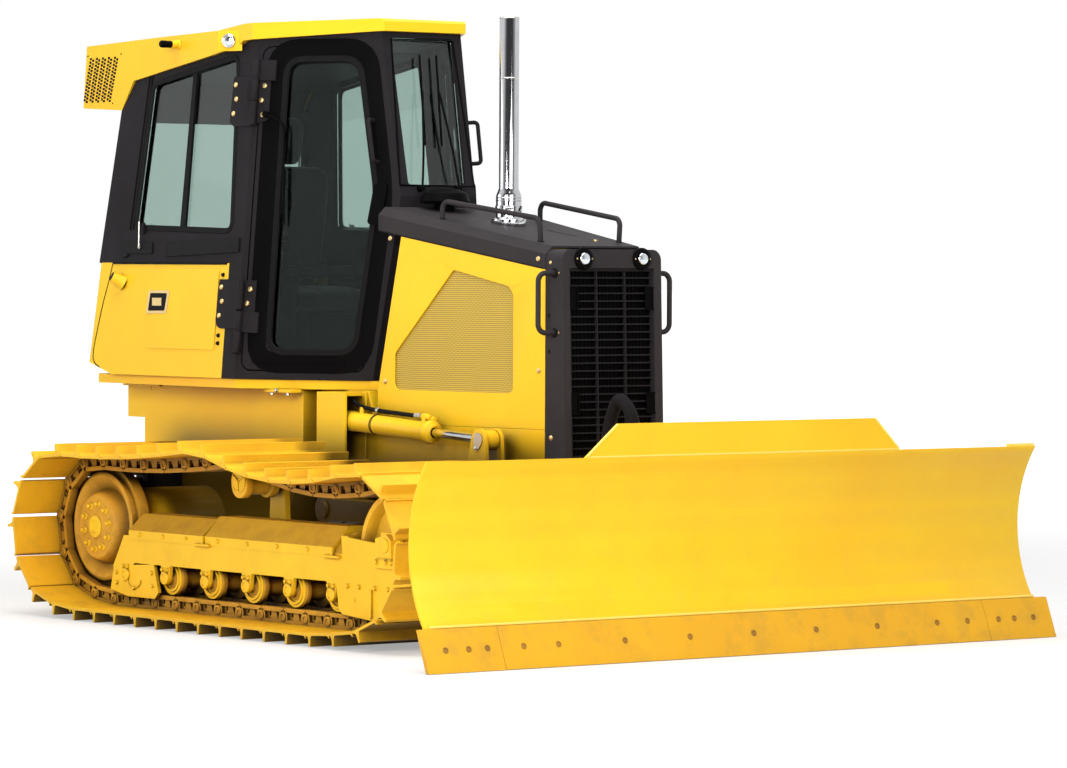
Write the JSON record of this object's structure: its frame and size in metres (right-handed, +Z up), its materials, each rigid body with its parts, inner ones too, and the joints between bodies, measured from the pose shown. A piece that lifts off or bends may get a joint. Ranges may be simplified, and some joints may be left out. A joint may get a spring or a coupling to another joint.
{
  "type": "crawler bulldozer",
  "caption": "Tracked dozer with an enclosed cab, sloping hood, wide low-pressure tracks and a curved blade that lifts, angles and tilts on hydraulic rams.",
  "frame": {"origin": "on the ground, midway between the cutting edge and the rear of the roof unit, on the machine's centre plane", "axes": "+X forward towards the blade, +Y to the machine's left, +Z up"},
  "size_m": [4.178, 3.276, 2.612],
  "materials": {
    "yellow_paint": "gloss paint, clean",
    "track_paint": "satin paint over cast and rolled steel",
    "charcoal_paint": "satin textured paint",
    "black_paint": "satin paint",
    "screen_mesh": "perforated sheet, painted",
    "bright_steel": "polished chrome",
    "cab_glass": "clear tinted safety glass",
    "lamp_lens": "clear moulded lens",
    "seat_cloth": "woven cloth",
    "trim_plastic": "grained plastic",
    "hose_rubber": "woven sleeve over rubber hose",
    "engine_iron": "painted casting"
  },
  "bodies": {
    "chassis": {"track_right": "track_paint", "track_left": "track_paint", "idlers": "track_paint", "sprockets": "track_paint", "track_rollers": "track_paint", "carrier_rollers": "track_paint", "track_frame_right": "track_paint", "track_frame_left": "track_paint", "rear_case": "yellow_paint", "frame_rails": "yellow_paint", "main_frame": "yellow_paint", "cross_members": "yellow_paint", "push_pivots": "yellow_paint", "lift_towers": "yellow_paint", "cab_platform": "yellow_paint", "engine": "engine_iron", "hood_sides": "yellow_paint", "side_screens": "screen_mesh", "hood_top": "charcoal_paint", "radiator_guard": "charcoal_paint", "grille": "black_paint", "headlamps": "lamp_lens", "exhaust": "bright_steel", "air_intake": "black_paint", "handrails": "charcoal_paint", "guard_handles": "charcoal_paint", "cab_frame": "charcoal_paint", "cab_glass": "cab_glass", "roof": "yellow_paint", "side_consoles": "yellow_paint", "rear_tank": "yellow_paint", "seat": "seat_cloth", "operator_station": "trim_plastic", "door_hinges": "charcoal_paint"},
    "door_right": {"door_right": "charcoal_paint", "door_glass_right": "cab_glass"},
    "door_left": {"door_left": "charcoal_paint", "door_glass_left": "cab_glass"},
    "push_frame": {"push_frame": "yellow_paint", "hose_sleeve": "hose_rubber"},
    "blade_yoke": {"blade_yoke": "yellow_paint"},
    "blade": {"blade": "yellow_paint", "cutting_edge": "yellow_paint"},
    "lift_barrel_right": {"lift_barrel_right": "yellow_paint"},
    "lift_barrel_left": {"lift_barrel_left": "yellow_paint"},
    "lift_rod_right": {"lift_rod_right": "bright_steel"},
    "lift_rod_left": {"lift_rod_left": "bright_steel"},
    "angle_barrel_right": {"angle_barrel_right": "yellow_paint"},
    "angle_barrel_left": {"angle_barrel_left": "yellow_paint"},
    "angle_rod_right": {"angle_rod_right": "bright_steel"},
    "angle_rod_left": {"angle_rod_left": "bright_steel"},
    "tilt_barrel": {"tilt_barrel": "yellow_paint"},
    "tilt_rod": {"tilt_rod": "bright_steel"}
  },
  "joints": [
    {"name": "door_right_hinge", "type": "hinge", "parent": "chassis", "child": "door_right", "pos_m": [-0.68818, -0.57887, 1.80188], "axis": [0, -0.0826, -0.9966], "range_deg": [0, 170]},
    {"name": "door_left_hinge", "type": "hinge", "parent": "chassis", "child": "door_left", "pos_m": [-0.68818, 0.57887, 1.80188], "axis": [0, -0.0826, 0.9966], "range_deg": [0, 170]},
    {"name": "blade_lift", "type": "hinge", "parent": "chassis", "child": "push_frame", "pos_m": [-0.15, 0, 0.5], "axis": [0, -1, 0], "range_deg": [-9, 21]},
    {"name": "blade_angle", "type": "hinge", "parent": "push_frame", "child": "blade_yoke", "pos_m": [1.48, 0, 0.465], "axis": [0, 0, 1], "range_deg": [-22, 22]},
    {"name": "blade_tilt", "type": "hinge", "parent": "blade_yoke", "child": "blade", "pos_m": [1.7, 0, 0.465], "axis": [1, 0, 0], "range_deg": [-6.5, 6.5]},
    {"name": "lift_barrel_right_pivot", "type": "hinge", "parent": "chassis", "child": "lift_barrel_right", "pos_m": [-0.144, -0.416, 0.878], "axis": [0, -1, 0], "range_deg": [-9.31, 21.69]},
    {"name": "lift_rod_right_slide", "type": "slide", "parent": "lift_barrel_right", "child": "lift_rod_right", "axis": [0.9986, 0, -0.0537], "range_m": [-0.1373, 0.0592]},
    {"name": "lift_barrel_left_pivot", "type": "hinge", "parent": "chassis", "child": "lift_barrel_left", "pos_m": [-0.144, 0.416, 0.878], "axis": [0, -1, 0], "range_deg": [-9.31, 21.69]},
    {"name": "lift_rod_left_slide", "type": "slide", "parent": "lift_barrel_left", "child": "lift_rod_left", "axis": [0.9986, 0, -0.0537], "range_m": [-0.1373, 0.0592]},
    {"name": "angle_barrel_right_pivot", "type": "hinge", "parent": "push_frame", "child": "angle_barrel_right", "pos_m": [0.985, -0.4, 0.627], "axis": [0, 0, 1], "range_deg": [-3.81, 3.81]},
    {"name": "angle_rod_right_slide", "type": "slide", "parent": "angle_barrel_right", "child": "angle_rod_right", "axis": [1, 0, 0], "range_m": [-0.1521, 0.1521]},
    {"name": "angle_barrel_left_pivot", "type": "hinge", "parent": "push_frame", "child": "angle_barrel_left", "pos_m": [0.985, 0.4, 0.627], "axis": [0, 0, 1], "range_deg": [-3.81, 3.81]},
    {"name": "angle_rod_left_slide", "type": "slide", "parent": "angle_barrel_left", "child": "angle_rod_left", "axis": [1, 0, 0], "range_m": [-0.1521, 0.1521]},
    {"name": "tilt_barrel_pivot", "type": "hinge", "parent": "blade_yoke", "child": "tilt_barrel", "pos_m": [1.7, 0.33, 0.72], "axis": [1, 0, 0], "range_deg": [-3.27, 3.27]},
    {"name": "tilt_rod_slide", "type": "slide", "parent": "tilt_barrel", "child": "tilt_rod", "axis": [0, -1, 0], "range_m": [-0.0295, 0.0295]}
  ],
  "couplings": [
    {"joint": "lift_barrel_right_pivot", "follows": "blade_lift", "ratio": 1.0322},
    {"joint": "lift_rod_right_slide", "follows": "blade_lift", "m_per_rad": -0.3732},
    {"joint": "lift_barrel_left_pivot", "follows": "blade_lift", "ratio": 1.0322},
    {"joint": "lift_rod_left_slide", "follows": "blade_lift", "m_per_rad": -0.3732},
    {"joint": "angle_barrel_right_pivot", "follows": "blade_angle", "ratio": 0.17231},
    {"joint": "angle_rod_right_slide", "follows": "blade_angle", "m_per_rad": 0.3946},
    {"joint": "angle_barrel_left_pivot", "follows": "blade_angle", "ratio": 0.17231},
    {"joint": "angle_rod_left_slide", "follows": "blade_angle", "m_per_rad": -0.3946},
    {"joint": "tilt_barrel_pivot", "follows": "blade_tilt", "ratio": 0.5},
    {"joint": "tilt_rod_slide", "follows": "blade_tilt", "m_per_rad": 0.25486}
  ]
}
